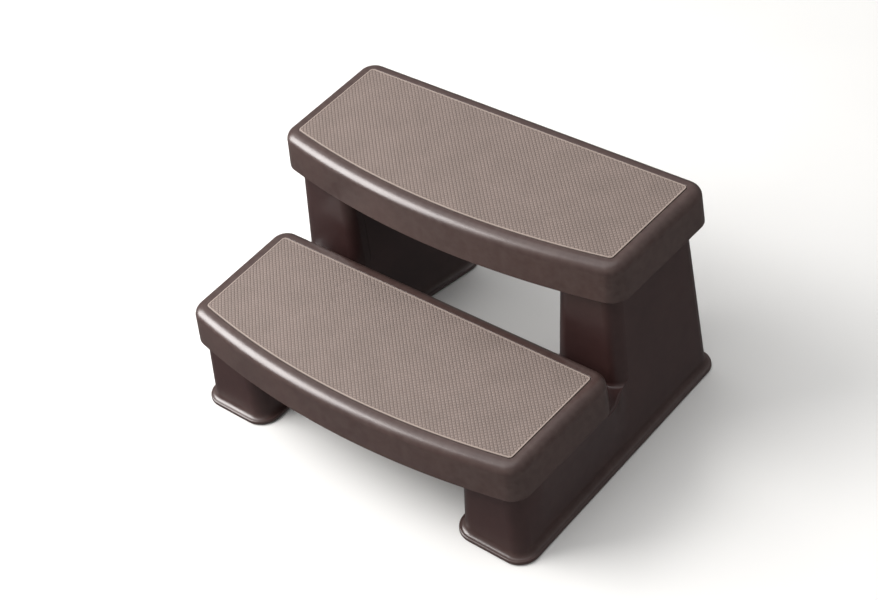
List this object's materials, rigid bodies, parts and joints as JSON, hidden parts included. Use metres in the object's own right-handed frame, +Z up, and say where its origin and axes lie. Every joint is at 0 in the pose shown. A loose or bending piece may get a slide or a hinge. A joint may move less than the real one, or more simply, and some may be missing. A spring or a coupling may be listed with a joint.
{
  "type": "spa steps",
  "caption": "Tiered spa steps with bow-fronted skirted treads, inlaid anti-slip mats and hollow flared side frames, for climbing over the side of a tub.",
  "frame": {"origin": "on the floor under the middle of the steps, midway between the left and right foot rims and midway between the front edge of the lower tread and the rear foot rims", "axes": "+X to the user's right when facing the steps from the front, +Y rearwards towards the tub, +Z up"},
  "size_m": [0.8412, 0.678, 0.463],
  "materials": {
    "body": "satin moulded plastic, espresso brown, very fine grain",
    "mat": "matt warm grey anti-slip sheet with a fine diamond knurl",
    "steel": "plain zinc-plated pan-head screws",
    "rubber": "black moulded rubber, matt"
  },
  "bodies": {
    "root": {"right_side_frame": "body", "left_side_frame": "body", "lower_tread": "body", "lower_tread_mat": "mat", "lower_tread_screw_left_front": "steel", "lower_tread_screw_left_rear": "steel", "lower_tread_screw_right_front": "steel", "lower_tread_screw_right_rear": "steel", "upper_tread": "body", "upper_tread_mat": "mat", "upper_tread_screw_left_front": "steel", "upper_tread_screw_left_rear": "steel", "upper_tread_screw_right_front": "steel", "upper_tread_screw_right_rear": "steel", "foot_left_front_inner": "rubber", "foot_left_front_outer": "rubber", "foot_left_rear_inner": "rubber", "foot_left_rear_outer": "rubber", "foot_right_front_inner": "rubber", "foot_right_front_outer": "rubber", "foot_right_rear_inner": "rubber", "foot_right_rear_outer": "rubber"}
  },
  "joints": []
}
